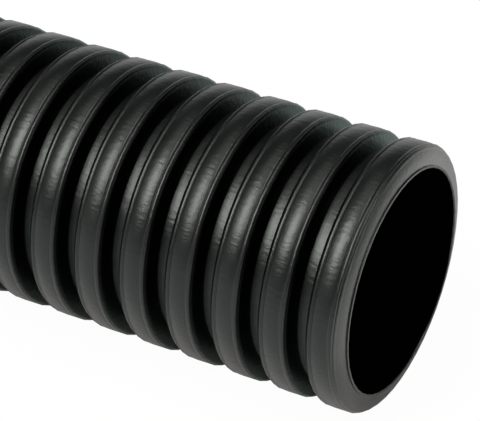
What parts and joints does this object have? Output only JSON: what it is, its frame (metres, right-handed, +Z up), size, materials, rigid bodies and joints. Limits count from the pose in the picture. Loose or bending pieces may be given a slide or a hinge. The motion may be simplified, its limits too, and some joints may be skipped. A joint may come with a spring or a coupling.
{
  "type": "corrugated conduit",
  "caption": "Straight length of black double-wall plastic conduit, corrugated outside with a smooth bore, sawn square across at both ends.",
  "frame": {"origin": "on the ground, under the middle of the pipe's length", "axes": "+X along the pipe's axis, +Z up, away from the ground that the pipe lies on"},
  "size_m": [3, 0.1596, 0.16],
  "materials": {
    "black_polyethylene": "satin black polyethylene as it comes off the corrugator, with a waxy sheen, fine lines round each crest and light scuffs"
  },
  "bodies": {
    "root": {"conduit": "black_polyethylene"}
  },
  "joints": []
}
